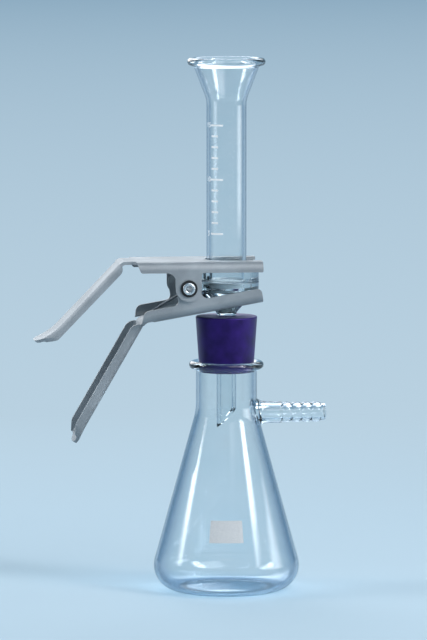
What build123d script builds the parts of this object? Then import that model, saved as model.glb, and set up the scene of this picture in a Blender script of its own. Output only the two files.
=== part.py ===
from build123d import *
import math
import os

# Vacuum filtration unit: a 25 mm glass filter holder on a conical filter flask.
# Millimetres. Z is up, the flask stands on z = 0 with its axis on Z, the hose arm points to +X
# and the two handles of the spring clamp to -X. All glass is turned about the Z axis.

# --- Filter flask ---
FLASK_RADIUS = 33.8  # widest, at the heel
FLASK_HEIGHT = 107.1
FLASK_WALL = 1.45
FLASK_HEEL_RADIUS = 11.8
FLASK_FOOT_WIDTH = 3.0  # flat ring that the flask stands on
FLASK_PUNT = 1.2  # rise of the underside inside that ring
NECK_BORE_RADIUS = 12.7
NECK_START = 88.2  # height where the shoulder has become the straight neck
SHOULDER_RADIUS = 30.0
RIM_RADIUS = 17.3
RIM_HEIGHT = 3.7
RIM_ROOT_RADIUS = 0.9
MOUTH_RADIUS = 2.5  # rounding of the mouth's inner edge

# --- Hose arm of the flask ---
ARM_HEIGHT = 82.8
ARM_END = 46.3  # from the flask's axis
ARM_BORE_RADIUS = 3.1
ARM_LAND_RADIUS = 5.0  # plain stretch behind the ridges
ARM_LAND_START = 20.0
ARM_LAND_END = 25.6
ARM_WELD_RADIUS = 6.7  # fused root, where the arm meets the glass wall
ARM_WELD_START = 14.0
ARM_WELD_SLOPE = -0.9  # how steeply the root starts to narrow
ARM_RIDGE_RADIUS = 4.75
ARM_VALLEY_RADIUS = 3.95
ARM_RIDGE_COUNT = 4
ARM_LIP_LENGTH = 2.2  # plain end past the last ridge
ARM_LIP_ROUND = 0.7

# --- Stopper ---
STOPPER_SLACK = 0.2  # how much the small end is under the neck's bore
STOPPER_EXCESS = 1.6  # how much the big end is over it
STOPPER_BOTTOM_RADIUS = NECK_BORE_RADIUS - STOPPER_SLACK
STOPPER_TOP_RADIUS = NECK_BORE_RADIUS + STOPPER_EXCESS
STOPPER_LENGTH = 25.9
STOPPER_EDGE_ROUND = 0.7
STOPPER_SEAT_GAP = 0.02  # between the stopper and the rounded mouth
STEM_HOLE_GAP = 0.02  # between the stem and the hole it is pushed through

# --- Funnel base with its stem and sintered disc ---
FLANGE_RADIUS = 15.0  # both ground flanges
BASE_FLANGE_HEIGHT = 3.7
BASE_CONE_HEIGHT = 11.2
STEM_RADIUS = 4.5
STEM_BORE_RADIUS = 3.0
STEM_SHOWING = 1.5  # bare stem between the stopper and the cone
STEM_LENGTH = 53.4  # from the cone's root to the long side of the bevelled tip
STEM_BEVEL = 45.0
STEM_ROOT_ROUND = 3.0  # outside, where the cone runs into the stem
FRIT_RADIUS = 8.0
FRIT_HEIGHT = 3.0
FRIT_GAP = 0.02
FRIT_LEDGE = 1.1  # width of the ledge that carries the disc
WELL_HEIGHT = 6.0  # collecting cone under the disc
WELL_ROUND = 4.0  # where that cone runs into the stem's bore
FLANGE_EDGE_ROUND = 0.5

# --- Funnel ---
FUNNEL_HEIGHT = 103.0
FUNNEL_FOOT_HEIGHT = 8.6
TUBE_RADIUS = 9.25
TUBE_BORE_RADIUS = 7.95
TUBE_HEEL_ROUND = 0.8
FLARE_HEIGHT = 19.4  # from the end of the tube to the funnel's top
FLARE_RADIUS = 15.3  # outside, just under the rim
FUNNEL_RIM_RADIUS = 18.05
FUNNEL_RIM_HEIGHT = 3.8
FUNNEL_RIM_ROOT_ROUND = 1.2
FUNNEL_LIP_ROUND = 1.6  # inner edge of the mouth
FLARE_BEND_RADIUS = 12.0
FLARE_TOP_BEND_RADIUS = 3.0

# --- Spring clamp ---
SHEET = 1.5
SLOT_GAP = 0.95  # between the funnel's tube and the fork slot
UPPER_SLOT_RADIUS = TUBE_RADIUS + SLOT_GAP  # open towards +X
GLASS_SIDE_GAP = 0.3  # between the glass flanges and the lower lever's walls
EAR_GAP = 0.1  # between the ears of the two levers
JAW_GAP = 0.1  # between the lower fork and the base's cone
FOLD_RADIUS = 3.6  # outside of the folds along the levers' bodies
PIVOT_DROP = 2.0  # pivot below the joint of the two flanges
BODY_END = 23.9  # from the pivot back to the end of the side walls
BODY_END_SLANT = 2.0
WEB_CORNER_ROUND = 1.8  # where the full-width web narrows to the handle
TIP_STAGGER = 0.2  # fork tips inside the flanges' edge on the upper lever, outside on the lower

UPPER_REACH = FLANGE_RADIUS - TIP_STAGGER  # tips of the fork, past the glass axis
UPPER_WALLS = (4.9, 4.9)  # height of the side walls towards the handle and towards the fork
UPPER_EAR_RADIUS = 6.0
UPPER_EAR_ROOTS = (4.0, 1.0)  # roundings beside the ears, in the same order
UPPER_TIP_ROUND = 0.6
UPPER_END_ROUND = 1.0  # of the side walls, at the handle
UPPER_SHOULDER = 23.9  # from the pivot back to where the web narrows
UPPER_KNEE_START = 28.1  # from the pivot to the start of the bend
UPPER_KNEE_ANGLE = 45.8
UPPER_KNEE_RADIUS = 4.0  # outside of the bend
UPPER_GRIP_LENGTH = 45.0
UPPER_GRIP_WALL = 3.6
UPPER_TIP_CURL = 24.0

LOWER_REACH = FLANGE_RADIUS + TIP_STAGGER
LOWER_WALLS = (5.9, 6.7)
LOWER_SLOT_RADIUS = 9.25  # its edge bears on the base's cone
LOWER_EAR_RADIUS = 5.5
LOWER_EAR_ROOTS = (2.5, 3.0)
LOWER_TIP_ROUND = 2.2
LOWER_END_ROUND = 3.2
LOWER_SHOULDER = 18.0
LOWER_SLOPE = 9.9  # the lower lever rises towards its fork when it is closed
LOWER_KNEE_START = 20.0
LOWER_KNEE_ANGLE = 50.0
LOWER_KNEE_RADIUS = 3.5  # inside of the bend, on the outer face of the web
LOWER_GRIP_LENGTH = 54.5
LOWER_GRIP_WALL = 4.8
LOWER_TIP_CURL = 4.0

# --- Handles of the clamp ---
HANDLE_HALF_WIDTH = 10.5
HANDLE_FOLD_RADIUS = 2.4
HANDLE_FADE = 1.5  # stretch over which the walls grow, behind the knee
TIP_LENGTH = 8.2
TIP_CURL_RADIUS = 30.0
TIP_ROUND = 8.0

# --- Pivot and spring ---
PIN_RADIUS = 2.0
PIN_GAP = 0.05
PIN_BORE_RADIUS = 1.3
PIN_HEAD_RADIUS = 2.9
PIN_HEAD_HEIGHT = 0.9
PIN_HEAD_ROUND = 0.72
WASHER_RADIUS = 3.9
WASHER_HEIGHT = 0.6
WIRE_RADIUS = 0.55
COIL_RADIUS = 3.2  # middle of the wire
COIL_PITCH = 1.3
COIL_TURNS = 7
COIL_GAP = 0.95  # between the coil and the glass flanges
LEG_REACH = 17.0  # from the pivot to the ends of the legs
LEG_GAP = 0.05  # between a leg's end and its lever

# --- Rounding and picking ---
FULL_ROUND_FLAT = 0.01  # hair of flat left between two fillets that make one full round
LOOKS_UP = 0.8  # least Z of the normal of a face that counts as a top
SAME_PLACE = 1e-4  # two coordinates closer than this count as one
CUT_MARGIN = 0.01  # how far a cutter reaches past a face it is flush with

# --- Places that follow from what seats on what ---
NECK_RADIUS = NECK_BORE_RADIUS + FLASK_WALL
STOPPER_TAPER = math.atan2(STOPPER_TOP_RADIUS - STOPPER_BOTTOM_RADIUS, STOPPER_LENGTH)


def stopper_seat_height():
    """Height of the stopper's small end when its side rests on the rounded mouth."""
    out, down = math.cos(STOPPER_TAPER), math.sin(STOPPER_TAPER)
    mouth_x, mouth_z = NECK_BORE_RADIUS + MOUTH_RADIUS, FLASK_HEIGHT - MOUTH_RADIUS
    side = out * mouth_x - down * mouth_z - MOUTH_RADIUS - STOPPER_SEAT_GAP
    return (out * STOPPER_BOTTOM_RADIUS - side) / down


STOPPER_Z = stopper_seat_height()
CONE_ROOT_Z = STOPPER_Z + STOPPER_LENGTH + STEM_SHOWING
JOINT_Z = CONE_ROOT_Z + BASE_CONE_HEIGHT + BASE_FLANGE_HEIGHT
FOOT_TOP_Z = JOINT_Z + FUNNEL_FOOT_HEIGHT
FUNNEL_TOP_Z = JOINT_Z + FUNNEL_HEIGHT
PIVOT_Z = JOINT_Z - PIVOT_DROP
PIVOT_X = -(FLANGE_RADIUS + COIL_GAP + WIRE_RADIUS + COIL_RADIUS)
UPPER_WEB_Z = FOOT_TOP_Z + SHEET
LOWER_HALF_WIDTH = FLANGE_RADIUS + GLASS_SIDE_GAP + SHEET
UPPER_HALF_WIDTH = LOWER_HALF_WIDTH + EAR_GAP + SHEET


# --- Helpers ---
def rounded(*corners):
    """Closed flat outline through corners (across, up) or (across, up, corner radius)."""
    face = make_face(Polyline(*[corner[:2] for corner in corners], close=True)).face()
    for across, up, *radius in corners:
        if radius:
            vertex = face.vertices().sort_by_distance((across, up, 0))[0]
            face = face.fillet_2d(radius[0], [vertex])
    return face


def turned(outline):
    """Solid of revolution about Z of an outline drawn as (radius, height)."""
    return revolve(Plane.XZ * outline, axis=Axis.Z)


def across_y(outline, half_width):
    """Prism of an outline drawn as (x, z), to the same width on both sides of y = 0."""
    return extrude(Plane.XZ * outline, amount=half_width, both=True)


def top_side_edges(prism, half_width):
    """Edges where the top of a prism made by across_y meets its two sides."""
    tops = prism.faces().filter_by(lambda face: face.normal_at().Z > LOOKS_UP)
    return [edge for face in tops for edge in face.edges()
            if abs(abs(edge.center().Y) - half_width) < SAME_PLACE]


# --- Glass and rubber ---
def flask_wall_edges(inset):
    """Punt, foot, heel, cone and shoulder of the flask, moved inwards by inset, from the axis up."""
    heel = Vector(FLASK_RADIUS - FLASK_HEEL_RADIUS, FLASK_HEEL_RADIUS)
    shoulder = Vector(NECK_RADIUS + SHOULDER_RADIUS, NECK_START)
    apart = shoulder - heel
    lean = math.atan2(apart.Y, apart.X) - math.acos((FLASK_HEEL_RADIUS + SHOULDER_RADIUS) / apart.length)
    outwards = Vector(math.cos(lean), math.sin(lean))
    lean = math.degrees(lean)
    heel_radius, shoulder_radius = FLASK_HEEL_RADIUS - inset, SHOULDER_RADIUS + inset
    foot = heel.X - FLASK_FOOT_WIDTH
    punt = TangentArc((0, FLASK_PUNT + inset), (foot, inset), tangent=(1, 0))
    ring = Line((foot, inset), (heel.X, inset))
    heel_arc = CenterArc(heel, heel_radius, -90, 90 + lean)
    cone = Line(heel + outwards * heel_radius, shoulder - outwards * shoulder_radius)
    shoulder_arc = CenterArc(shoulder, shoulder_radius, 180 + lean, -lean)
    return [punt, ring, heel_arc, cone, shoulder_arc]


def flask_body():
    """Turned body of the flask with its beaded rim, the wall as thick everywhere."""
    rim_bottom = FLASK_HEIGHT - RIM_HEIGHT
    rim_round = RIM_HEIGHT / 2 - FULL_ROUND_FLAT
    rim = FilletPolyline(
        (NECK_RADIUS, NECK_START),
        (NECK_RADIUS, rim_bottom),
        (RIM_RADIUS, rim_bottom),
        (RIM_RADIUS, FLASK_HEIGHT),
        (NECK_BORE_RADIUS, FLASK_HEIGHT),
        (NECK_BORE_RADIUS, NECK_START),
        radius=[RIM_ROOT_RADIUS, rim_round, rim_round, MOUTH_RADIUS],
    )
    axis = Line((0, FLASK_PUNT), (0, FLASK_PUNT + FLASK_WALL))
    edges = flask_wall_edges(0) + flask_wall_edges(FLASK_WALL) + [rim, axis]
    return turned(make_face(Wire([edge for part in edges for edge in part.edges()])))


def arm_outline():
    """Half outline of the hose arm along X: fused root, plain land, ridges and rounded lip."""
    ridges_end = ARM_END - ARM_LIP_LENGTH
    pitch = (ridges_end - ARM_LAND_END) / ARM_RIDGE_COUNT
    start = (NECK_RADIUS - FLASK_WALL, 0)
    root = Polyline(start, (start[0], ARM_WELD_RADIUS), (ARM_WELD_START, ARM_WELD_RADIUS))
    weld = Spline(
        (ARM_WELD_START, ARM_WELD_RADIUS),
        (ARM_LAND_START, ARM_LAND_RADIUS),
        tangents=[(1, ARM_WELD_SLOPE), (1, 0)],
    )
    land = Polyline((ARM_LAND_START, ARM_LAND_RADIUS), (ARM_LAND_END, ARM_LAND_RADIUS),
                    (ARM_LAND_END, ARM_VALLEY_RADIUS))
    ridges = [
        ThreePointArc(
            (ARM_LAND_END + turn * pitch, ARM_VALLEY_RADIUS),
            (ARM_LAND_END + (turn + 0.5) * pitch, ARM_RIDGE_RADIUS),
            (ARM_LAND_END + (turn + 1) * pitch, ARM_VALLEY_RADIUS),
        )
        for turn in range(ARM_RIDGE_COUNT)
    ]
    lip = FilletPolyline((ridges_end, ARM_VALLEY_RADIUS), (ARM_END, ARM_VALLEY_RADIUS), (ARM_END, 0),
                         radius=ARM_LIP_ROUND)
    edges = [root, weld, land, *ridges, lip, Line((ARM_END, 0), start)]
    return make_face(Wire([edge for part in edges for edge in part.edges()]))


def filter_flask():
    """Conical flask, blown in one piece with its hose arm."""
    body = flask_body()
    inside = turned(make_face(Wire([
        edge for part in [*flask_wall_edges(FLASK_WALL),
                          Polyline((NECK_BORE_RADIUS, NECK_START), (NECK_BORE_RADIUS, FLASK_HEIGHT),
                                   (0, FLASK_HEIGHT), (0, FLASK_PUNT + FLASK_WALL))]
        for edge in part.edges()
    ])))
    arm = Pos(0, 0, ARM_HEIGHT) * revolve(arm_outline(), axis=Axis.X)
    bore = Pos(0, 0, ARM_HEIGHT) * Rot(0, 90, 0) * Cylinder(
        ARM_BORE_RADIUS, 2 * ARM_END, align=(Align.CENTER, Align.CENTER, Align.MIN))
    return body + (arm - inside) - bore


def stopper():
    """Tapered rubber stopper with one hole for the stem."""
    hole = STEM_RADIUS + STEM_HOLE_GAP
    top = STOPPER_Z + STOPPER_LENGTH
    return turned(rounded(
        (hole, STOPPER_Z),
        (STOPPER_BOTTOM_RADIUS, STOPPER_Z, STOPPER_EDGE_ROUND),
        (STOPPER_TOP_RADIUS, top, STOPPER_EDGE_ROUND),
        (hole, top),
    ))


def funnel_base():
    """Glass base: ground flange, recess for the sintered disc, collecting cone and bevelled stem."""
    flange_bottom = JOINT_Z - BASE_FLANGE_HEIGHT
    ledge = JOINT_Z - FRIT_HEIGHT
    tip = CONE_ROOT_Z - STEM_LENGTH
    recess = FRIT_RADIUS + FRIT_GAP
    body = turned(rounded(
        (STEM_BORE_RADIUS, tip),
        (STEM_RADIUS, tip),
        (STEM_RADIUS, CONE_ROOT_Z, STEM_ROOT_ROUND),
        (FLANGE_RADIUS, flange_bottom, FLANGE_EDGE_ROUND),
        (FLANGE_RADIUS, JOINT_Z, FLANGE_EDGE_ROUND),
        (recess, JOINT_Z),
        (recess, ledge),
        (FRIT_RADIUS - FRIT_LEDGE, ledge),
        (STEM_BORE_RADIUS, ledge - WELL_HEIGHT, WELL_ROUND),
    ))
    rise = STEM_RADIUS * math.tan(math.radians(STEM_BEVEL))
    below = Box(*[8 * STEM_RADIUS] * 3, align=(Align.CENTER, Align.CENTER, Align.MAX))
    return body - Pos(0, 0, tip + rise) * Rot(0, -STEM_BEVEL, 0) * below


def frit_disc():
    """Sintered glass disc, flush with the ground face of the base."""
    return Pos(0, 0, JOINT_Z) * Cylinder(
        FRIT_RADIUS, FRIT_HEIGHT, align=(Align.CENTER, Align.CENTER, Align.MAX))


def funnel():
    """Glass funnel: ground foot flange, tube, straight flare and beaded rim."""
    flare_start = FUNNEL_TOP_Z - FLARE_HEIGHT
    rim_bottom = FUNNEL_TOP_Z - FUNNEL_RIM_HEIGHT
    wall = TUBE_RADIUS - TUBE_BORE_RADIUS
    rim_round = FUNNEL_RIM_HEIGHT / 2 - FULL_ROUND_FLAT
    return turned(rounded(
        (TUBE_BORE_RADIUS, JOINT_Z),
        (FLANGE_RADIUS, JOINT_Z, FLANGE_EDGE_ROUND),
        (FLANGE_RADIUS, FOOT_TOP_Z, FLANGE_EDGE_ROUND),
        (TUBE_RADIUS, FOOT_TOP_Z, TUBE_HEEL_ROUND),
        (TUBE_RADIUS, flare_start, FLARE_BEND_RADIUS),
        (FLARE_RADIUS, rim_bottom, FUNNEL_RIM_ROOT_ROUND),
        (FUNNEL_RIM_RADIUS, rim_bottom, rim_round),
        (FUNNEL_RIM_RADIUS, FUNNEL_TOP_Z, rim_round),
        (FLARE_RADIUS - wall, FUNNEL_TOP_Z, FUNNEL_LIP_ROUND),
        (FLARE_RADIUS - wall, rim_bottom, FLARE_TOP_BEND_RADIUS),
        (TUBE_BORE_RADIUS, flare_start, FLARE_BEND_RADIUS),
    ))


# --- Clamp ---
# Each lever is drawn with its pivot axis on Y through the origin, its web on top, its side walls
# hanging down and its handle towards -X. The lower one is then turned over.
def folded(outline, room, half_width, fold_radius):
    """Folded sheet: the outline as a prism, less the room between its walls, folds rounded."""
    outer = across_y(outline, half_width)
    inner = across_y(room, half_width - SHEET)
    outer = fillet(top_side_edges(outer, half_width), fold_radius)
    inner = fillet(top_side_edges(inner, half_width - SHEET), fold_radius - SHEET)
    return outer - inner


def lever_body(web, walls, reach, half_width, ear_radius, ear_roots, tip_round, end_round, shoulder,
               knee_start):
    """Body of a lever: folded channel with two ears round the pivot and a flat neck to the knee.

    web is the height of the outer face above the pivot, and walls and ear_roots are the heights of
    the side walls and the roundings behind and in front of the ears. reach runs from the pivot to
    the tips, shoulder and knee_start back to where the web narrows and where its bend starts.
    """
    back_edge, front_edge = (web - wall for wall in walls)
    ear_round = ear_radius - FULL_ROUND_FLAT
    back_root, front_root = ear_roots
    outline = rounded(
        (-BODY_END, web),
        (reach, web),
        (reach, front_edge, tip_round),
        (ear_radius, front_edge, front_root),
        (ear_radius, -ear_radius, ear_round),
        (-ear_radius, -ear_radius, ear_round),
        (-ear_radius, back_edge, back_root),
        (BODY_END_SLANT - BODY_END, back_edge, end_round),
    )
    room = Pos(0, web - SHEET) * Rectangle(4 * reach, 4 * web, align=(Align.CENTER, Align.MAX))
    channel = folded(outline, room, half_width, FOLD_RADIUS)
    flat, narrow = half_width - FOLD_RADIUS, HANDLE_HALF_WIDTH
    relief = Pos(-shoulder, 0, web) * Box(
        BODY_END, 2 * (half_width - SHEET), 2 * (SHEET + CUT_MARGIN),
        align=(Align.MAX, Align.CENTER, Align.CENTER))
    neck = rounded(
        (-knee_start, -narrow),
        (-shoulder, -narrow, WEB_CORNER_ROUND),
        (-shoulder, -flat),
        (SHEET - shoulder, -flat),
        (SHEET - shoulder, flat),
        (-shoulder, flat),
        (-shoulder, narrow, WEB_CORNER_ROUND),
        (-knee_start, narrow),
    )
    return channel - relief + Pos(0, 0, web - SHEET) * extrude(neck, amount=SHEET)


def ring_face(outer, inner):
    """Flat face between two arcs about one centre."""
    return make_face(Wire([outer.edge(), Line(outer @ 1, inner @ 1).edge(), inner.edge(),
                           Line(inner @ 0, outer @ 0).edge()]))


def knee_down(radius, angle):
    """Web bent down by angle, from the origin towards -X, its outer face starting on z = 0."""
    outer = CenterArc((0, -radius), radius, 90, angle)
    inner = CenterArc((0, -radius), radius - SHEET, 90, angle)
    return across_y(ring_face(outer, inner), HANDLE_HALF_WIDTH)


def knee_up(radius, angle):
    """Web bent up by angle, from the origin towards -X, its outer face starting on z = 0."""
    outer = CenterArc((0, radius), radius, 270, -angle)
    inner = CenterArc((0, radius), radius + SHEET, 270, -angle)
    return across_y(ring_face(outer, inner), HANDLE_HALF_WIDTH)


def handle(grip_length, wall, curl_angle):
    """Gutter along -X from the origin, web on top, with fading walls and a curled, rounded tip."""
    curl = math.radians(curl_angle)
    along = Vector(-math.cos(curl), math.sin(curl))
    inwards = Vector(-math.sin(curl), -math.cos(curl))
    tip = Vector(-grip_length, 0) + along * TIP_LENGTH
    width = HANDLE_HALF_WIDTH

    def below_web(depth):
        """Deep outline below the curled line of the web, set in by depth."""
        end = tip + inwards * depth + along * TIP_LENGTH
        return rounded(
            (TIP_LENGTH, -depth),
            (-grip_length - depth * math.tan(curl / 2), -depth, TIP_CURL_RADIUS + depth),
            (end.X, end.Y),
            (end.X, -4 * wall),
            (TIP_LENGTH, -4 * wall),
        )

    gutter = folded(below_web(0), below_web(SHEET), width, HANDLE_FOLD_RADIUS)
    free_edges = rounded(
        (0, 2 * tip.Y),
        (tip.X, 2 * tip.Y),
        (tip.X, tip.Y + inwards.Y * SHEET),
        (-grip_length, -wall, wall),
        (-HANDLE_FADE, -wall, wall),
        (0, -SHEET),
    )
    plan = rounded(
        (tip.X, -width, TIP_ROUND),
        (TIP_LENGTH, -width),
        (TIP_LENGTH, width),
        (tip.X, width, TIP_ROUND),
    )
    return gutter & across_y(free_edges, 2 * width) & extrude(plan, amount=4 * TIP_LENGTH, both=True)


def pin_hole():
    """Cutter for the rivet's hole through all ears."""
    return Rot(90, 0, 0) * Cylinder(PIN_RADIUS + PIN_GAP, 4 * UPPER_HALF_WIDTH)


def fork_slot(web, centre_x, reach, radius):
    """Cutter for the slot between the fork's prongs, rounded about centre_x."""
    height = 4 * SHEET
    straight = 2 * (reach - centre_x)
    cutter = Cylinder(radius, height) + Pos(straight / 2, 0, 0) * Box(straight, 2 * radius, height)
    return Pos(centre_x, 0, web) * cutter


def upper_lever():
    """Lever that rests on the funnel's foot, its ears outside."""
    web = UPPER_WEB_Z - PIVOT_Z
    reach = UPPER_REACH - PIVOT_X
    body = lever_body(web, UPPER_WALLS, reach, UPPER_HALF_WIDTH, UPPER_EAR_RADIUS,
                      UPPER_EAR_ROOTS, UPPER_TIP_ROUND, UPPER_END_ROUND, UPPER_SHOULDER, UPPER_KNEE_START)
    bend = math.radians(UPPER_KNEE_ANGLE)
    start = Pos(-UPPER_KNEE_START, 0, web)
    end = start * Pos(-UPPER_KNEE_RADIUS * math.sin(bend), 0, -UPPER_KNEE_RADIUS * (1 - math.cos(bend)))
    grip = end * Rot(0, -UPPER_KNEE_ANGLE, 0) * handle(UPPER_GRIP_LENGTH, UPPER_GRIP_WALL, UPPER_TIP_CURL)
    lever = body + start * knee_down(UPPER_KNEE_RADIUS, UPPER_KNEE_ANGLE) + grip
    lever = lever - pin_hole() - fork_slot(web, -PIVOT_X, reach, UPPER_SLOT_RADIUS)
    return Pos(PIVOT_X, 0, PIVOT_Z) * lever


def lower_web_height():
    """Distance from the pivot to the lower lever's outer face, its fork just clear of the cone."""
    lean = math.tan(math.radians(LOWER_SLOPE))
    cone = BASE_CONE_HEIGHT / (FLANGE_RADIUS - STEM_RADIUS)
    apex_z = CONE_ROOT_Z - cone * STEM_RADIUS
    face_z = apex_z + LOWER_SLOT_RADIUS * math.sqrt(cone**2 - lean**2) - JAW_GAP
    return (PIVOT_Z - face_z - PIVOT_X * lean) * math.cos(math.atan(lean)) + SHEET


def lower_lever():
    """Lever that bears on the base's cone, its ears inside those of the upper lever."""
    web = lower_web_height()
    slope = math.radians(LOWER_SLOPE)
    reach = (LOWER_REACH - PIVOT_X - web * math.sin(slope)) / math.cos(slope)
    slot_x = (-PIVOT_X - (web - SHEET) * math.sin(slope)) / math.cos(slope)
    body = lever_body(web, LOWER_WALLS, reach, LOWER_HALF_WIDTH, LOWER_EAR_RADIUS,
                      LOWER_EAR_ROOTS, LOWER_TIP_ROUND, LOWER_END_ROUND, LOWER_SHOULDER, LOWER_KNEE_START)
    bend = math.radians(LOWER_KNEE_ANGLE)
    start = Pos(-LOWER_KNEE_START, 0, web)
    end = start * Pos(-LOWER_KNEE_RADIUS * math.sin(bend), 0, LOWER_KNEE_RADIUS * (1 - math.cos(bend)))
    grip = end * Rot(0, LOWER_KNEE_ANGLE, 0) * handle(LOWER_GRIP_LENGTH, LOWER_GRIP_WALL, LOWER_TIP_CURL)
    lever = body + start * knee_up(LOWER_KNEE_RADIUS, LOWER_KNEE_ANGLE) + grip
    lever = lever - pin_hole() - fork_slot(web, slot_x, reach, LOWER_SLOT_RADIUS)
    return Pos(PIVOT_X, 0, PIVOT_Z) * Rot(0, -LOWER_SLOPE, 0) * Rot(180, 0, 0) * lever


def on_pivot(shape):
    """Shape drawn about Z moved onto the pivot axis: its Z to the front (-Y) and its Y up."""
    return Pos(PIVOT_X, 0, PIVOT_Z) * Rot(90, 0, 0) * shape


def pivot_rivet():
    """Tubular rivet through the four ears, with a rolled head over each washer."""
    grip = UPPER_HALF_WIDTH + WASHER_HEIGHT
    top = grip + PIN_HEAD_HEIGHT
    outline = rounded(
        (PIN_BORE_RADIUS, -top, PIN_HEAD_ROUND),
        (PIN_HEAD_RADIUS, -top, PIN_HEAD_ROUND),
        (PIN_HEAD_RADIUS, -grip),
        (PIN_RADIUS, -grip),
        (PIN_RADIUS, grip),
        (PIN_HEAD_RADIUS, grip),
        (PIN_HEAD_RADIUS, top, PIN_HEAD_ROUND),
        (PIN_BORE_RADIUS, top, PIN_HEAD_ROUND),
    )
    return on_pivot(turned(outline))


def washer(side):
    """Flat washer under one rivet head, side 1 at the front and -1 at the rear."""
    ring = Cylinder(WASHER_RADIUS, WASHER_HEIGHT) - Cylinder(PIN_RADIUS + PIN_GAP, 2 * WASHER_HEIGHT)
    return on_pivot(Pos(0, 0, side * (UPPER_HALF_WIDTH + WASHER_HEIGHT / 2)) * ring)


def clamp_spring():
    """Torsion spring wound on the rivet: each leg leaves the coil at a tangent towards one web."""
    slope = math.radians(LOWER_SLOPE)
    clear = WIRE_RADIUS + LEG_GAP
    upper_end = Vector(-LEG_REACH, UPPER_WEB_Z - SHEET - PIVOT_Z - clear)
    lower_end = Vector(-LEG_REACH,
                       (clear + SHEET - lower_web_height()) / math.cos(slope) - LEG_REACH * math.tan(slope))
    first = math.atan2(lower_end.Y, lower_end.X) + math.acos(COIL_RADIUS / lower_end.length)
    last = math.atan2(upper_end.Y, upper_end.X) - math.acos(COIL_RADIUS / upper_end.length)
    turns = COIL_TURNS + (last - first) / (2 * math.pi)
    height = turns * COIL_PITCH
    rise = COIL_PITCH / (2 * math.pi * COIL_RADIUS)
    helix = Helix(COIL_PITCH, height, COIL_RADIUS)
    coil = Pos(0, 0, -height / 2) * Rot(0, 0, math.degrees(first)) * helix
    lower_leg = math.sqrt(lower_end.length**2 - COIL_RADIUS**2)
    upper_leg = math.sqrt(upper_end.length**2 - COIL_RADIUS**2)
    start = Vector(lower_end.X, lower_end.Y, -height / 2 - rise * lower_leg)
    end = Vector(upper_end.X, upper_end.Y, height / 2 + rise * upper_leg)
    path = Wire([Line(start, coil @ 0).edge(), coil.edge(), Line(coil @ 1, end).edge()])
    section = Plane(origin=start, z_dir=path % 0) * Circle(WIRE_RADIUS)
    return on_pivot(sweep(section, path=path))


# --- Nodes ---
NODES = {
    "filter_flask": filter_flask,
    "stopper": stopper,
    "funnel_base": funnel_base,
    "frit_disc": frit_disc,
    "funnel": funnel,
    "upper_lever": upper_lever,
    "lower_lever": lower_lever,
    "pivot_rivet": pivot_rivet,
    "front_washer": lambda: washer(1),
    "rear_washer": lambda: washer(-1),
    "clamp_spring": clamp_spring,
}


def main():
    """Write one STEP file for each node."""
    os.makedirs("parts", exist_ok=True)
    for name, build in NODES.items():
        export_step(build(), f"parts/{name}.step")


main()
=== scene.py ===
"""Looks of a glass vacuum filtration unit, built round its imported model.

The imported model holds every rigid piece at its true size: metres, Z up, the glass axis on Z, the
hose arm towards +X and the clamp's handles towards -X. This script dresses those pieces, adds what
is printed on the glass, and sets up the studio they stand in.
"""

import logging
import math
from dataclasses import dataclass, field
from enum import Enum
from typing import Any

import bmesh
import bpy
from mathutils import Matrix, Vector

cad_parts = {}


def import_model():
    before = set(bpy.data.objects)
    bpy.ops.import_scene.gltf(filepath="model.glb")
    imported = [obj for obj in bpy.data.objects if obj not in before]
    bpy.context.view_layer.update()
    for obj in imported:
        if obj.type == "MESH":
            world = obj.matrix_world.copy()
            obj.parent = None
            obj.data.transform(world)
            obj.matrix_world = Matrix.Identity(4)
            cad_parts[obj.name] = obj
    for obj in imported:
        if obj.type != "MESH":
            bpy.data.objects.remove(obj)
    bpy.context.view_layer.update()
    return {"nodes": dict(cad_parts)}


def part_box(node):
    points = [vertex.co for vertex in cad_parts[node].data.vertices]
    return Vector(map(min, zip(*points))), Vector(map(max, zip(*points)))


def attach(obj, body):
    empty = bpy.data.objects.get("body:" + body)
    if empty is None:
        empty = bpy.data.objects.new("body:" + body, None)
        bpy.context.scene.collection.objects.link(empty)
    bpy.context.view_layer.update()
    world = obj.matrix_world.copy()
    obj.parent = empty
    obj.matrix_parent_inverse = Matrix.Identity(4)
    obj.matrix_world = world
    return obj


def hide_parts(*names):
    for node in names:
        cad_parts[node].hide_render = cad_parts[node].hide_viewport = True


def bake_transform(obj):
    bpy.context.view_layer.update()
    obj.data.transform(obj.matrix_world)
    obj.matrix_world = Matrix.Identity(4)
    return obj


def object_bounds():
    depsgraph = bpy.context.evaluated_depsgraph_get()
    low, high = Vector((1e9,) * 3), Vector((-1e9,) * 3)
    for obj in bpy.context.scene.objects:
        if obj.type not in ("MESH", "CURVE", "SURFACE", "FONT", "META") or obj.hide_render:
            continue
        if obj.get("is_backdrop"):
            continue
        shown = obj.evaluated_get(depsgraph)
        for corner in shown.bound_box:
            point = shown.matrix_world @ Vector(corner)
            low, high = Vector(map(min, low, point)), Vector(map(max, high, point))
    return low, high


LOG = logging.getLogger("filtration_unit")
MM = 0.001
MERGE_DISTANCE = 0.001 * MM
GLASS_BODY = "glass_stack"
VIEW_AZIMUTH = math.radians(-7.5)  # of the camera, from -Y towards +X
FRONT_ANGLE = VIEW_AZIMUTH - math.pi / 2  # the same direction as an angle about Z, from +X


# --- Helpers -------------------------------------------------------------------------------------
def linear(colour: str) -> tuple[float, float, float, float]:
    """Turns an sRGB colour into Blender's linear one.

    Args:
        colour: sRGB as "#rrggbb".

    Returns:
        Red, green, blue and an alpha of 1, all linear.
    """
    parts = (int(colour[i : i + 2], 16) / 255 for i in (1, 3, 5))
    channels = (c / 12.92 if c <= 0.04045 else ((c + 0.055) / 1.055) ** 2.4 for c in parts)
    return (*channels, 1.0)


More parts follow.
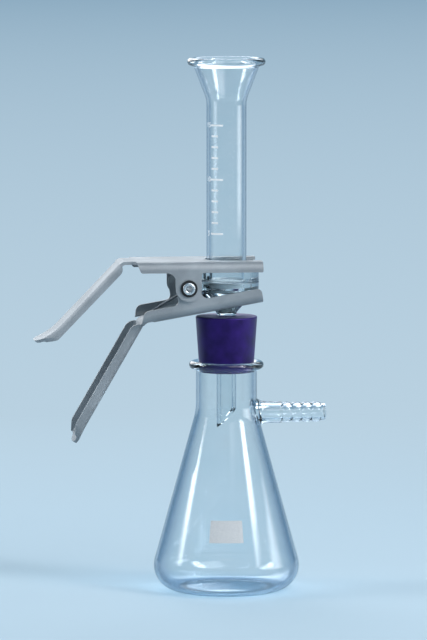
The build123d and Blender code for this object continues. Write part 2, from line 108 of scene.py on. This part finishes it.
def add(
    tree: bpy.types.NodeTree,
    kind: str,
    sockets: dict[str | int, Any] | None = None,
    **settings: Any,
) -> bpy.types.Node:
    """Adds a shader node with its settings and links.

    Args:
        tree: node tree that gets it.
        kind: node type, without the "ShaderNode" at its start.
        sockets: for each input, by name or number, its value or the output that feeds it.
        settings: the node's own properties.

    Returns:
        The new node.
    """
    node = tree.nodes.new("ShaderNode" + kind)
    for name, value in settings.items():
        setattr(node, name, value)
    for socket, value in (sockets or {}).items():
        if isinstance(value, bpy.types.NodeSocket):
            tree.links.new(value, node.inputs[socket])
        else:
            node.inputs[socket].default_value = value
    return node


def new_material(name: str) -> tuple[bpy.types.Material, bpy.types.NodeTree]:
    """Makes an empty node material.

    Args:
        name: the material's name.

    Returns:
        The material and its node tree.
    """
    material = bpy.data.materials.new(name)
    material.use_nodes = True
    material.node_tree.nodes.clear()
    return material, material.node_tree


def dress(piece: bpy.types.Object, material: bpy.types.Material) -> None:
    """Gives every face of a piece one material.

    Args:
        piece: the piece.
        material: its finish.
    """
    piece.data.materials.clear()
    piece.data.materials.append(material)


def mesh_object(name: str, mesh: bmesh.types.BMesh, smooth: bool = False) -> bpy.types.Object:
    """Turns a finished bmesh into an object at the origin, faces outwards.

    Args:
        name: the object's name.
        mesh: the shape, freed here.
        smooth: whether its faces are shaded smooth.

    Returns:
        The object, linked to the scene.
    """
    bmesh.ops.remove_doubles(mesh, verts=mesh.verts, dist=MERGE_DISTANCE)
    bmesh.ops.recalc_face_normals(mesh, faces=mesh.faces)
    data = bpy.data.meshes.new(name)
    mesh.to_mesh(data)
    mesh.free()
    for polygon in data.polygons:
        polygon.use_smooth = smooth
    piece = bpy.data.objects.new(name, data)
    bpy.context.scene.collection.objects.link(piece)
    return piece


def around_z(angle: float, radius: float, height: float) -> Vector:
    """Finds a point by its direction and distance from the glass axis.

    Args:
        angle: direction from the axis, from +X.
        radius: distance from the axis.
        height: above the surface that the flask stands on.

    Returns:
        The point.
    """
    return Vector((radius * math.cos(angle), radius * math.sin(angle), height))


def wall_radius(node: bpy.types.Object, angle: float, height: float) -> float:
    """Measures how far a glass wall stands from its axis.

    Args:
        node: glass piece turned about Z.
        angle: direction from the axis, from +X.
        height: where it is measured.

    Returns:
        Radius of the outside there.
    """
    start = around_z(angle, 1.0, height)
    hit, place, _, _ = node.ray_cast(start, -around_z(angle, 1.0, 0.0))
    if not hit:
        raise ValueError(f"{node.name} has no wall at height {height}")
    return Vector(place[:2]).length


# --- Finishes ------------------------------------------------------------------------------------
class Forming(Enum):
    """How a glass piece was shaped, as the spacing and depth of its waves in mm."""

    BLOWN = (17.0, 0.030)
    DRAWN = (9.0, 0.010)


@dataclass(frozen=True)
class BorosilicateGlass:
    """Clear borosilicate glass, fire polished, with ground faces where two pieces join.

    Its base colour darkens towards its outline, where the wall turns from the eye: painted shade.

    Args:
        name: the material's name.
        forming: how the piece was shaped.
        ground: height of a ground, frosted face in metres, or None.
        clear: colour of the thin side of the waves.
        cast: colour of their thick side.
        edge: colour of the painted shade towards its outline.
        edge_turn: how far the wall has turned from the eye, from 0 to 1, where that painted shade
        starts and where it is full.
        wave_detail: octaves of the waves.
        facing_blend: how far towards the middle of a wall the turning is felt.
        ior: index of refraction.
        absorbed: colour that is left after the light has gone far through the wall.
        absorption: density of that, per metre.
        shadow: colour of the light that the glass lets through to the floor.
        ground_depth: how far the frost reaches past the ground face.
        ground_roughness: roughness of the frost.
    """

    name: str
    forming: Forming
    ground: float | None = None
    clear: str = "#ffffff"
    cast: str = "#f3f9fb"
    edge: str = "#3f76a2"
    edge_turn: tuple[float, float] = (0.22, 0.95)
    wave_detail: float = 1.0
    facing_blend: float = 0.5
    ior: float = 1.474
    absorbed: tuple[float, float, float, float] = (0.44, 0.57, 0.63, 1.0)
    absorption: float = 45.0
    shadow: str = "#eef4f7"
    ground_depth: float = 0.8 * MM
    ground_roughness: float = 0.42

    def material(self) -> bpy.types.Material:
        """Builds it: waves in the surface, a faint cast, frost on the ground face.

        Returns:
            The glass.
        """
        material, tree = new_material(self.name)
        place = add(tree, "TexCoord").outputs["Object"]
        spacing, depth = self.forming.value
        pattern = {"Vector": place, "Scale": 1 / (spacing * MM), "Detail": self.wave_detail}
        waves = add(tree, "TexNoise", pattern).outputs["Fac"]
        relief = {"Height": waves, "Distance": depth * MM, "Strength": 1.0}
        bump = add(tree, "Bump", relief)
        cast = add(
            tree,
            "Mix",
            {"Factor": waves, 6: linear(self.clear), 7: linear(self.cast)},
            data_type="RGBA",
        )
        # Painted shade: the base colour darkens towards the outline, where the wall turns from the
        # eye.
        turning = add(tree, "LayerWeight", {"Blend": self.facing_blend}).outputs["Facing"]
        start, end = self.edge_turn
        edge = add(
            tree,
            "MapRange",
            {"Value": turning, "From Min": start, "From Max": end},
            interpolation_type="SMOOTHSTEP",
        )
        colour = add(
            tree,
            "Mix",
            {"Factor": edge.outputs[0], 6: cast.outputs[2], 7: linear(self.edge)},
            data_type="RGBA",
        )
        inputs = {
            "Base Color": colour.outputs[2],
            "Roughness": 0.0,
            "IOR": self.ior,
            "Transmission Weight": 1.0,
            "Normal": bump.outputs["Normal"],
        }
        if self.ground is not None:
            inputs["Roughness"] = self.frost(tree, place)
        glass = add(tree, "BsdfPrincipled", inputs)
        passing = add(tree, "BsdfTransparent", {"Color": linear(self.shadow)})
        lamp = add(tree, "LightPath").outputs["Is Shadow Ray"]
        surface = add(
            tree, "MixShader", {"Fac": lamp, 1: glass.outputs["BSDF"], 2: passing.outputs["BSDF"]}
        )
        cast_through = {"Color": self.absorbed, "Density": self.absorption}
        depth_tint = add(tree, "VolumeAbsorption", cast_through)
        add(
            tree,
            "OutputMaterial",
            {"Surface": surface.outputs["Shader"], "Volume": depth_tint.outputs["Volume"]},
        )
        return material

    def frost(self, tree: bpy.types.NodeTree, place: bpy.types.NodeSocket) -> bpy.types.NodeSocket:
        """Roughness that is high only on the ground face and its edge.

        Args:
            tree: node tree of the glass.
            place: Object coordinates.

        Returns:
            The roughness.
        """
        height = add(tree, "SeparateXYZ", {0: place}).outputs["Z"]
        face = {0: height, 1: self.ground, 2: self.ground_depth}
        near = add(tree, "Math", face, operation="COMPARE").outputs[0]
        frost = {0: near, 1: self.ground_roughness}
        return add(tree, "Math", frost, operation="MULTIPLY").outputs[0]


@dataclass(frozen=True)
class PatternedSurface:
    """Opaque surface with two colours in a grain, and the same grain in its gloss and relief.

    Args:
        name: the material's name.
        dark: colour of the low places.
        light: colour of the high ones.
        grain_mm: spacing of the grain.
        relief_mm: depth of the grain, 0 where it is too fine to tilt the light.
        roughness: least and greatest roughness.
        metallic: 1 for metal.
        specular: strength of a non-metal's reflection.
        tint: colour of that reflection.
        detail: octaves of the grain.
        contrast: levels of the grain that are all dark and all light.
        rubbed: colour of the places that hands and tools have rubbed, or None.
        rubbed_mm: spacing of those places.
        rubbed_detail: octaves of their outline.
        rubbed_edge: levels of their pattern where they start and where they are full.
        rubbed_share: how far the rubbed colour covers the others.
    """

    name: str
    dark: str
    light: str
    grain_mm: float
    relief_mm: float
    roughness: tuple[float, float]
    metallic: float = 0.0
    specular: float = 0.5
    tint: str = "#ffffff"
    detail: float = 3.0
    contrast: tuple[float, float] = (0.3, 0.7)
    rubbed: str | None = None
    rubbed_mm: float = 14.0
    rubbed_detail: float = 4.0
    rubbed_edge: tuple[float, float] = (0.42, 0.62)
    rubbed_share: float = 0.35

    def material(self) -> bpy.types.Material:
        """Builds it from one noise that drives colour, roughness and relief.

        Returns:
            The material.
        """
        material, tree = new_material(self.name)
        place = add(tree, "TexCoord").outputs["Object"]
        pattern = {"Vector": place, "Scale": 1 / (self.grain_mm * MM), "Detail": self.detail}
        grain = add(tree, "TexNoise", pattern).outputs["Fac"]
        low, high = self.contrast
        levels = {"Value": grain, "From Min": low, "From Max": high}
        spread = add(tree, "MapRange", levels, clamp=True).outputs["Result"]
        colours = {"Factor": spread, 6: linear(self.dark), 7: linear(self.light)}
        colour = add(tree, "Mix", colours, data_type="RGBA").outputs[2]
        if self.rubbed is not None:
            colour = self.rub(tree, place, colour)
        least, greatest = self.roughness
        rough = add(tree, "MapRange", {"Value": spread, "To Min": least, "To Max": greatest})
        inputs = {
            "Base Color": colour,
            "Metallic": self.metallic,
            "Roughness": rough.outputs["Result"],
            "Specular IOR Level": self.specular,
            "Specular Tint": linear(self.tint),
        }
        if self.relief_mm:
            relief = {"Height": grain, "Distance": self.relief_mm * MM, "Strength": 1.0}
            inputs["Normal"] = add(tree, "Bump", relief).outputs["Normal"]
        surface = add(tree, "BsdfPrincipled", inputs)
        add(tree, "OutputMaterial", {"Surface": surface.outputs["BSDF"]})
        return material

    def rub(
        self, tree: bpy.types.NodeTree, place: bpy.types.NodeSocket, colour: bpy.types.NodeSocket
    ) -> bpy.types.NodeSocket:
        """Lays soft patches of the rubbed colour over the grain.

        Args:
            tree: node tree of the surface.
            place: Object coordinates.
            colour: colour of the grain.

        Returns:
            Colour of the grain with the patches.
        """
        pattern = {
            "Vector": place,
            "Scale": 1 / (self.rubbed_mm * MM),
            "Detail": self.rubbed_detail,
        }
        patches = add(tree, "TexNoise", pattern).outputs["Fac"]
        start, full = self.rubbed_edge
        levels = {
            "Value": patches,
            "From Min": start,
            "From Max": full,
            "To Max": self.rubbed_share,
        }
        cover = add(tree, "MapRange", levels, clamp=True).outputs["Result"]
        colours = {"Factor": cover, 6: colour, 7: linear(self.rubbed)}
        return add(tree, "Mix", colours, data_type="RGBA").outputs[2]


# Sintered borosilicate grains, 0.1 to 0.2 mm: a dry disc scatters light and looks white. The grain
# is drawn at 0.35 mm so that it shows.
SINTERED_GLASS = PatternedSurface(
    "sintered_borosilicate",
    dark="#c9d2d6",
    light="#f0f3f4",
    grain_mm=0.35,
    relief_mm=0.08,
    roughness=(0.85, 1.0),
    specular=0.3,
)
# Natural rubber, moulded in a polished steel tool: deep violet, half gloss, with a faint bloom.
STOPPER_RUBBER = PatternedSurface(
    "moulded_violet_rubber",
    dark="#0e0918",
    light="#251550",
    grain_mm=6.0,
    relief_mm=0.02,
    roughness=(0.38, 0.46),
    specular=1.0,
    tint="#8e70ff",
)
# Aluminium sheet, stamped, then tumbled in stones: an even satin skin, brighter in soft patches
# where it has been handled. The real grain is near 0.1 mm. It is drawn at 0.45 mm, in colour and
# gloss only, because it is too fine to tilt the light.
PRESSED_ALUMINIUM = PatternedSurface(
    "tumbled_aluminium_sheet",
    dark="#919497",
    light="#9da0a3",
    grain_mm=0.45,
    relief_mm=0.0,
    roughness=(0.62, 0.70),
    metallic=1.0,
    rubbed="#babdc0",
)
# Steel tube, turned and rolled over a die: bright, with a faint unevenness from the tools.
RIVET_STEEL = PatternedSurface(
    "turned_bright_steel",
    dark="#b4b6b8",
    light="#e2e3e4",
    grain_mm=0.5,
    relief_mm=0.004,
    roughness=(0.16, 0.28),
    metallic=1.0,
)
# Fibre washer, punched and oiled: matt black.
BLACK_FIBRE = PatternedSurface(
    "punched_black_fibre",
    dark="#0b0c0e",
    light="#1b1d20",
    grain_mm=0.4,
    relief_mm=0.02,
    roughness=(0.55, 0.75),
    specular=0.4,
)
# Hard drawn spring wire: dark grey, half gloss, slightly uneven along its length.
SPRING_WIRE = PatternedSurface(
    "drawn_spring_steel",
    dark="#5d6064",
    light="#94979a",
    grain_mm=0.7,
    relief_mm=0.006,
    roughness=(0.25, 0.4),
    metallic=1.0,
)
# White ceramic enamel, screen printed and fired into the glass: matt, slightly thin in places.
WHITE_ENAMEL = PatternedSurface(
    "fired_white_enamel",
    dark="#eef1f4",
    light="#ffffff",
    grain_mm=0.4,
    relief_mm=0.004,
    roughness=(0.45, 0.6),
)
# White ceramic enamel of the marking field, fired: matt, rough enough to take a pencil. Its colour
# is the grey that the white shows in shade: painted shade.
MARKING_ENAMEL = PatternedSurface(
    "marking_enamel_painted_shade",
    dark="#b9bcc0",
    light="#c9cbcd",
    grain_mm=0.5,
    relief_mm=0.008,
    roughness=(0.6, 0.75),
    specular=0.3,
)


# --- Sub-assemblies ------------------------------------------------------------------------------
class Mark(Enum):
    """Line of the scale, as its start and end in degrees from the viewing direction."""

    LONG = (-50.0, -10.0)
    SHORT = (-47.0, -25.0)


@dataclass
class FunnelScale:
    """White scale fired on the funnel's tube, one line a millilitre.

    Args:
        funnel: the funnel's own piece, which carries it.
        lowest_volume: millilitres at the lowest line.
        highest_volume: millilitres at the highest line.
        numbered_every: millilitres from one numbered line to the next.
        lowest_height: of the lowest line, above the surface that the flask stands on.
        pitch: from line to line.
        line_height: how thick a line is.
        film: thickness of the enamel.
        numeral_height: height of a digit.
        numeral_body: height of the letter's body for one of its digits.
        numeral_angle: middle of the numbers, in degrees from the viewing direction.
        arc_step: degrees for one facet of a line.
        slices: width of the strips that let a number bend round the tube.
        radius: of the tube, read off the funnel.
    """

    funnel: bpy.types.Object
    lowest_volume: int = 5
    highest_volume: int = 15
    numbered_every: int = 5
    lowest_height: float = 166.6 * MM
    pitch: float = 5.0 * MM
    line_height: float = 0.85 * MM
    film: float = 0.05 * MM
    numeral_height: float = 2.3 * MM
    numeral_body: float = 1.45
    numeral_angle: float = -61.0
    arc_step: float = 2.0
    slices: float = 0.3 * MM
    radius: float = field(init=False)

    def __post_init__(self) -> None:
        """Reads the tube's radius off the funnel."""
        self.radius = wall_radius(self.funnel, FRONT_ANGLE, self.lowest_height)

    def build(self) -> bpy.types.Object:
        """Makes all lines and numerals as one piece.

        Returns:
            The scale, riding on the funnel's body.
        """
        shape = bmesh.new()
        for volume in range(self.lowest_volume, self.highest_volume + 1):
            height = self.lowest_height + (volume - self.lowest_volume) * self.pitch
            numbered = volume % self.numbered_every == 0
            self.add_line(shape, height, Mark.LONG if numbered else Mark.SHORT)
            if numbered:
                self.add_numeral(shape, height, str(volume))
        piece = mesh_object("funnel_scale", shape)
        dress(piece, WHITE_ENAMEL.material())
        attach(piece, GLASS_BODY)
        LOG.info("funnel_scale: %d lines", self.highest_volume - self.lowest_volume + 1)
        return piece

    def add_line(self, shape: bmesh.types.BMesh, height: float, mark: Mark) -> None:
        """Adds one line, a thin strip bent round the tube.

        Args:
            shape: the scale so far.
            height: the line's middle.
            mark: which kind of line.
        """
        start, end = (FRONT_ANGLE + math.radians(a) for a in mark.value)
        low, high = height - self.line_height / 2, height + self.line_height / 2
        corners = [
            shape.verts.new(around_z(start, radius, z))
            for radius, z in (
                (self.radius, low),
                (self.radius + self.film, low),
                (self.radius + self.film, high),
                (self.radius, high),
            )
        ]
        section = shape.faces.new(corners)
        steps = round(math.degrees(end - start) / self.arc_step)
        bmesh.ops.spin(
            shape, geom=[section], axis=(0, 0, 1), cent=(0, 0, 0), angle=end - start, steps=steps
        )

    def add_numeral(self, shape: bmesh.types.BMesh, height: float, text: str) -> None:
        """Adds a number, bent round the tube at the left of its line.

        Args:
            shape: the scale so far.
            height: the number's middle.
            text: its digits.
        """
        curve = bpy.data.curves.new("numeral", "FONT")
        curve.body, curve.size = text, self.numeral_height * self.numeral_body
        curve.align_x, curve.align_y = "CENTER", "CENTER"
        holder = bpy.data.objects.new("numeral", curve)
        flat = bpy.data.meshes.new_from_object(holder)
        digits = bmesh.new()
        digits.from_mesh(flat)
        bpy.data.objects.remove(holder)
        bpy.data.curves.remove(curve)
        width = max(v.co.x for v in digits.verts)
        for count in range(-int(width / self.slices), int(width / self.slices) + 1):
            bmesh.ops.bisect_plane(
                digits,
                geom=[*digits.verts, *digits.edges, *digits.faces],
                plane_co=(count * self.slices, 0, 0),
                plane_no=(1, 0, 0),
            )
        film = bmesh.ops.extrude_face_region(digits, geom=digits.faces[:])
        raised = [v for v in film["geom"] if isinstance(v, bmesh.types.BMVert)]
        bmesh.ops.translate(digits, verts=raised, vec=(0, 0, self.film))
        middle = FRONT_ANGLE + math.radians(self.numeral_angle)
        for vertex in digits.verts:
            across, up, out = vertex.co
            vertex.co = around_z(middle + across / self.radius, self.radius + out, height + up)
        digits.to_mesh(flat)
        digits.free()
        shape.from_mesh(flat)
        bpy.data.meshes.remove(flat)


@dataclass
class MarkingField:
    """White field fired on the flask's cone for pencil notes, drawn grey: painted shade.

    Args:
        flask: the flask's own piece, which carries it.
        width: round the flask.
        height: straight up.
        middle: height of its middle above the surface that the flask stands on.
        film: thickness of the enamel.
        steps: number of facets round the flask.
    """

    flask: bpy.types.Object
    width: float = 15.2 * MM
    height: float = 10.0 * MM
    middle: float = 31.0 * MM
    film: float = 0.06 * MM
    steps: int = 24

    def build(self) -> bpy.types.Object:
        """Makes the field as a thin patch spun about the glass axis.

        Returns:
            The field, riding on the flask's body.
        """
        low, high = self.middle - self.height / 2, self.middle + self.height / 2
        foot, top = (wall_radius(self.flask, FRONT_ANGLE, z) for z in (low, high))
        half = self.width / (foot + top)
        shape = bmesh.new()
        corners = [
            shape.verts.new(around_z(FRONT_ANGLE - half, radius, z))
            for radius, z in (
                (foot, low),
                (foot + self.film, low),
                (top + self.film, high),
                (top, high),
            )
        ]
        section = shape.faces.new(corners)
        bmesh.ops.spin(
            shape, geom=[section], axis=(0, 0, 1), cent=(0, 0, 0), angle=2 * half, steps=self.steps
        )
        piece = mesh_object("marking_field", shape)
        dress(piece, MARKING_ENAMEL.material())
        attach(piece, GLASS_BODY)
        LOG.info("marking_field: %.1f by %.1f mm", self.width / MM, self.height / MM)
        return piece


@dataclass
class Glassware:
    """Flask, funnel, base and sintered disc.

    Args:
        nodes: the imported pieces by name.
    """

    nodes: dict[str, bpy.types.Object]

    def build(self) -> None:
        """Dresses the glass and adds what is printed on it."""
        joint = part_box("funnel")[0].z
        finishes = {
            "filter_flask": BorosilicateGlass("blown_borosilicate", Forming.BLOWN),
            "funnel": BorosilicateGlass("drawn_borosilicate_funnel", Forming.DRAWN, joint),
            "funnel_base": BorosilicateGlass("drawn_borosilicate_base", Forming.DRAWN, joint),
            "frit_disc": SINTERED_GLASS,
        }
        for name, finish in finishes.items():
            dress(self.nodes[name], finish.material())
            LOG.info("%s: %s", name, finish.name)
        FunnelScale(self.nodes["funnel"]).build()
        MarkingField(self.nodes["filter_flask"]).build()


@dataclass
class Stopper:
    """Rubber stopper between the flask and the base.

    Args:
        nodes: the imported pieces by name.
    """

    nodes: dict[str, bpy.types.Object]

    def build(self) -> None:
        """Dresses the stopper."""
        dress(self.nodes["stopper"], STOPPER_RUBBER.material())
        LOG.info("stopper: %s", STOPPER_RUBBER.name)


@dataclass
class SpringClamp:
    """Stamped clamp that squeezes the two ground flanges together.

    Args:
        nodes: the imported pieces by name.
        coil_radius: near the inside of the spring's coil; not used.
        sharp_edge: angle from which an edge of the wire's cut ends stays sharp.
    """

    nodes: dict[str, bpy.types.Object]
    coil_radius: float = 3.0 * MM
    sharp_edge: float = math.radians(40.0)

    def build(self) -> None:
        """Dresses the levers, the rivet and its washers, and makes the spring's wire."""
        aluminium = PRESSED_ALUMINIUM.material()
        fibre = BLACK_FIBRE.material()
        finishes = {
            "upper_lever": aluminium,
            "lower_lever": aluminium,
            "pivot_rivet": RIVET_STEEL.material(),
            "front_washer": fibre,
            "rear_washer": fibre,
        }
        for name, material in finishes.items():
            dress(self.nodes[name], material)
            LOG.info("%s: %s", name, material.name)
        self.wind_spring()

    def wind_spring(self) -> bpy.types.Object:
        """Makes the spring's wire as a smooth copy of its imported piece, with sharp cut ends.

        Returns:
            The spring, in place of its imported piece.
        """
        wire = bmesh.new()
        wire.from_mesh(self.nodes["clamp_spring"].data)
        spring = mesh_object("wound_spring", wire, smooth=True)
        spring.data.set_sharp_from_angle(angle=self.sharp_edge)
        dress(spring, SPRING_WIRE.material())
        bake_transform(spring)
        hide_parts("clamp_spring")
        LOG.info("wound_spring: %s", SPRING_WIRE.name)
        return spring


# --- Studio --------------------------------------------------------------------------------------
def seen_directly(tree: bpy.types.NodeTree) -> bpy.types.NodeSocket:
    """Tells what is looked at, also in metal or through glass, from what only gives light.

    Args:
        tree: node tree that asks.

    Returns:
        An output that is 1 where the surface or surround is looked at, and otherwise 0.
    """
    path = add(tree, "LightPath").outputs
    mirrored = {0: path["Is Glossy Ray"], 1: path["Is Transmission Ray"]}
    either = add(tree, "Math", mirrored, operation="MAXIMUM").outputs[0]
    seen = {0: path["Is Camera Ray"], 1: either}
    return add(tree, "Math", seen, operation="MAXIMUM").outputs[0]


@dataclass(frozen=True)
class Softbox:
    """Square-fronted lamp turned to the middle of the object.

    Args:
        name: the lamp's name.
        azimuth: degrees from the viewing direction, positive to the right.
        elevation: degrees above the object's middle.
        distance: from the object's middle, in metres.
        width: in metres.
        height: in metres.
        power: in watts.
        fade: share of its half width and of its half height over which it fades out.
    """

    name: str
    azimuth: float
    elevation: float
    distance: float
    width: float
    height: float
    power: float
    fade: tuple[float, float] = (0.8, 0.25)

    def build(self, target: Vector) -> bpy.types.Object:
        """Makes the lamp.

        Args:
            target: point that it is turned to.

        Returns:
            The lamp.
        """
        data = bpy.data.lights.new(self.name, "AREA")
        data.shape, data.energy = "RECTANGLE", self.power
        data.size, data.size_y = self.width, self.height
        self.diffuse(data)
        lamp = bpy.data.objects.new(self.name, data)
        lift = math.radians(self.elevation)
        out = around_z(FRONT_ANGLE + math.radians(self.azimuth), math.cos(lift), math.sin(lift))
        lamp.location = target + out * self.distance
        lamp.rotation_mode = "QUATERNION"
        lamp.rotation_quaternion = out.to_track_quat("Z", "Y")
        lamp.visible_camera = False
        bpy.context.scene.collection.objects.link(lamp)
        return lamp

    def diffuse(self, data: bpy.types.AreaLight) -> None:
        """Makes the lamp fade towards its edges, as the cloth of a softbox does.

        Args:
            data: the lamp's light.
        """
        data.use_nodes = True
        tree = data.node_tree
        tree.nodes.clear()
        place = add(tree, "NewGeometry").outputs["Parametric"]  # from 0 to 1 over each side
        doubled = {0: place, 1: (2, 2, 0), 2: (-1, -1, 0)}
        centred = add(tree, "VectorMath", doubled, operation="MULTIPLY_ADD")
        outwards = add(tree, "VectorMath", {0: centred.outputs[0]}, operation="ABSOLUTE")
        sides = add(tree, "SeparateXYZ", {0: outwards.outputs[0]})
        levels = [
            add(
                tree,
                "MapRange",
                {"Value": sides.outputs[axis], "From Min": 1 - edge, "To Min": 1.0, "To Max": 0.0},
                interpolation_type="SMOOTHSTEP",
            ).outputs[0]
            for axis, edge in zip("XY", self.fade)
        ]
        level = add(tree, "Math", {0: levels[0], 1: levels[1]}, operation="MULTIPLY")
        glow = add(tree, "Emission", {"Strength": level.outputs[0]})
        add(tree, "OutputLight", {"Surface": glow.outputs["Emission"]})


@dataclass
class Studio:
    """Pale floor and surround, soft lamps and the camera.

    Args:
        floor_colour: colour of the floor where it receives light and shadow.
        floor_roughness: of that floor.
        near_colour: colour of the backdrop close behind the object.
        far_colour: darker colour of the backdrop far off and above the horizon: painted shade.
        near_distance: from the glass axis, where the floor starts and ends passing into backdrop.
        far_distance: where the backdrop has reached its far colour.
        surround_colour: colour of the light from all round.
        fill: strength of that light.
        floor_radius: of the floor's disc.
        floor_sides: of the floor's disc.
        distance: of the camera from the glass axis.
        eye_height: of the camera.
        aim_height: of the point that it looks at.
        aim_left: of that point from the glass axis.
        frame_height: what the frame spans at the glass axis.
        sensor: longer side of the camera's sensor, in millimetres.
        lamps: the soft lamps.
    """

    floor_colour: str = "#a9bfce"
    floor_roughness: float = 0.9
    near_colour: str = "#b9d1e1"
    far_colour: str = "#8aa9bf"
    near_distance: tuple[float, float] = (0.25, 0.7)
    far_distance: float = 9.0
    surround_colour: str = "#cfdbe2"
    fill: float = 0.42
    floor_radius: float = 30.0
    floor_sides: int = 96
    distance: float = 2.28
    eye_height: float = 0.350
    aim_height: float = 0.126
    aim_left: float = 5.97 * MM
    frame_height: float = 0.2949
    sensor: float = 36.0
    # Each lamp has its azimuth, elevation, distance, width, height and power.
    lamps: tuple[Softbox, ...] = (
        Softbox("left_softbox", -86.0, 28.0, 1.3, 0.44, 0.92, 15.0),
        Softbox("right_softbox", 58.0, 33.0, 1.3, 0.44, 0.92, 22.0),
        Softbox("right_low_softbox", 84.0, 4.0, 1.2, 1.0, 0.3, 3.0),
        Softbox("front_fill", 34.0, 42.0, 1.8, 1.8, 1.4, 20.0),
        Softbox("back_softbox", 174.0, 34.0, 1.6, 1.6, 0.8, 11.0),
        Softbox("left_back_softbox", -156.0, 24.0, 1.5, 1.5, 1.1, 18.0),
    )

    def build(self) -> None:
        """Sets up floor, surround, lamps and camera."""
        self.set_view_transform()
        self.add_floor()
        self.add_surround()
        lo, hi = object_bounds()
        middle = Vector((0, 0, (lo.z + hi.z) / 2))
        for lamp in self.lamps:
            lamp.build(middle)
        self.add_camera()
        LOG.info("studio: %d lamps", len(self.lamps))

    def set_view_transform(self) -> None:
        """Shows colours as they are written."""
        bpy.context.scene.view_settings.view_transform = "Standard"

    def add_floor(self) -> bpy.types.Object:
        """Lays the floor that the flask stands on.

        Returns:
            The floor.
        """
        shape = bmesh.new()
        bmesh.ops.create_circle(
            shape, cap_ends=True, segments=self.floor_sides, radius=self.floor_radius
        )
        floor = mesh_object("floor", shape)
        dress(floor, self.floor_material())
        floor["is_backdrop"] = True
        return floor

    def floor_material(self) -> bpy.types.Material:
        """Builds the floor's matt, pale laminate.

        Far from the object it passes over into a pale backdrop, which casts no light and darkens
        farther off: painted shade.

        Returns:
            The floor's material.
        """
        material, tree = new_material("pale_laminate")
        material.cycles.emission_sampling = "NONE"  # the backdrop is seen, and lights nothing
        matt = {
            "Base Color": linear(self.floor_colour),
            "Roughness": self.floor_roughness,
            "Specular IOR Level": 0.0,
        }
        surface = add(tree, "BsdfPrincipled", matt)
        place = add(tree, "TexCoord").outputs["Object"]
        away = add(tree, "VectorMath", {0: place}, operation="LENGTH").outputs["Value"]
        start, end = self.near_distance
        passing = {"Value": away, "From Min": start, "From Max": end}
        far = add(tree, "MapRange", passing).outputs["Result"]
        # Painted shade: the backdrop darkens from its near colour to its far one with distance.
        receding = {"Value": away, "From Min": end, "From Max": self.far_distance}
        farther = add(tree, "MapRange", receding).outputs["Result"]
        colours = {"Factor": farther, 6: linear(self.near_colour), 7: linear(self.far_colour)}
        colour = add(tree, "Mix", colours, data_type="RGBA")
        share = add(tree, "Math", {0: seen_directly(tree), 1: far}, operation="MULTIPLY")
        backdrop = add(tree, "Emission", {"Color": colour.outputs[2]})
        both = add(
            tree,
            "MixShader",
            {"Fac": share.outputs[0], 1: surface.outputs["BSDF"], 2: backdrop.outputs["Emission"]},
        )
        add(tree, "OutputMaterial", {"Surface": both.outputs["Shader"]})
        return material

    def add_surround(self) -> None:
        """Puts a pale, even surround round everything, which fills the shadows.

        Looked at, also in metal or through glass, it carries on upwards the backdrop's far colour,
        which is darkened as painted shade.
        """
        world = bpy.data.worlds.new("surround")
        world.use_nodes = True
        tree = world.node_tree
        tree.nodes.clear()
        light = {"Color": linear(self.surround_colour), "Strength": self.fill}
        fill = add(tree, "Background", light)
        backdrop = add(tree, "Background", {"Color": linear(self.far_colour)})
        both = add(
            tree,
            "MixShader",
            {
                "Fac": seen_directly(tree),
                1: fill.outputs["Background"],
                2: backdrop.outputs["Background"],
            },
        )
        add(tree, "OutputWorld", {"Surface": both.outputs["Shader"]})
        bpy.context.scene.world = world

    def add_camera(self) -> bpy.types.Object:
        """Stands the camera at the front, a little to the left and above the clamp.

        Returns:
            The camera.
        """
        data = bpy.data.cameras.new("camera")
        data.sensor_width = self.sensor
        data.lens = self.sensor * self.distance / self.frame_height
        camera = bpy.data.objects.new("camera", data)
        right = Vector((math.cos(VIEW_AZIMUTH), math.sin(VIEW_AZIMUTH), 0))
        target = Vector((0, 0, self.aim_height)) - right * self.aim_left
        camera.location = around_z(FRONT_ANGLE, self.distance, self.eye_height)
        camera.rotation_mode = "QUATERNION"
        camera.rotation_quaternion = (target - camera.location).to_track_quat("-Z", "Y")
        bpy.context.scene.collection.objects.link(camera)
        bpy.context.scene.camera = camera
        return camera


def main() -> None:
    """Builds the unit's looks and the studio."""
    logging.basicConfig(level=logging.INFO, format="%(name)s %(message)s")
    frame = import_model()
    nodes = frame["nodes"]
    for assembly in (Glassware(nodes), Stopper(nodes), SpringClamp(nodes)):
        assembly.build()
    Studio().build()


if __name__ == "__main__":
    main()
